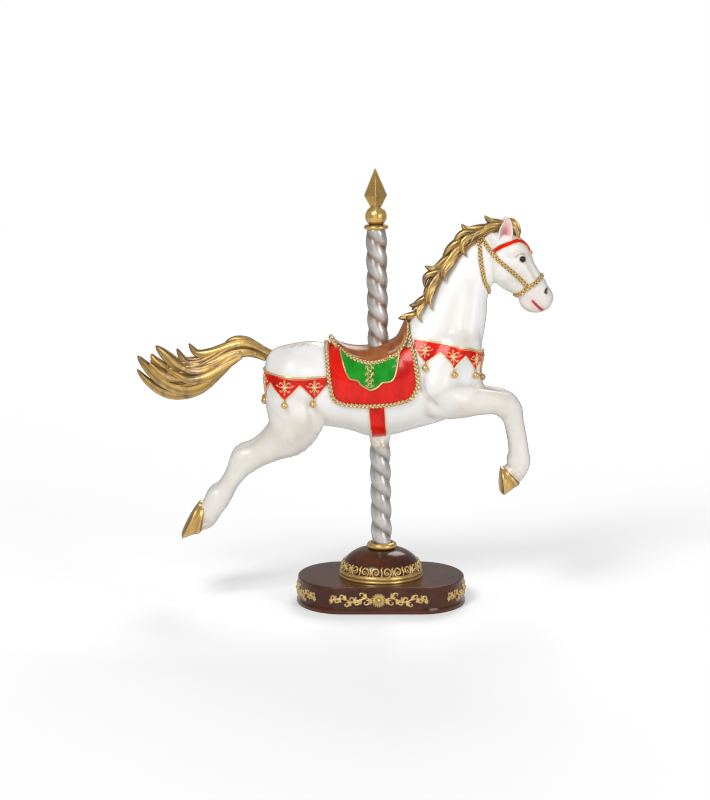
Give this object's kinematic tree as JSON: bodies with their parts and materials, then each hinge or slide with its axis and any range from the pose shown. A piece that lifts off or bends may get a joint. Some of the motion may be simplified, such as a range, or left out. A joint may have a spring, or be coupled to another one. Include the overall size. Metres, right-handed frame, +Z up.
{
  "type": "carousel horse",
  "caption": "Galloping white carousel horse in red and gold harness, on a silver barley-twist pole, dome and rounded plinth.",
  "frame": {"origin": "centre of the plinth's flat underside", "axes": "+Z up the pole, +X towards the horse's head, -Y towards the horse's near side"},
  "size_m": [1.1308, 0.3172, 1.1919],
  "materials": {
    "white_gloss": "gloss",
    "antique_gold": "satin",
    "aged_silver": "satin",
    "dark_brown_gloss": "gloss",
    "red_enamel": "gloss",
    "green_enamel": "gloss",
    "saddle_brown": "satin"
  },
  "bodies": {
    "root": {"horse": "white_gloss", "pole_lower": "aged_silver", "pole_upper": "aged_silver", "finial": "antique_gold", "foot_collar": "antique_gold", "dome": "dark_brown_gloss", "dome_gallery": "antique_gold", "plinth": "dark_brown_gloss", "scroll_front": "antique_gold", "scroll_right": "antique_gold", "scroll_back": "antique_gold", "scroll_left": "antique_gold"}
  },
  "joints": []
}
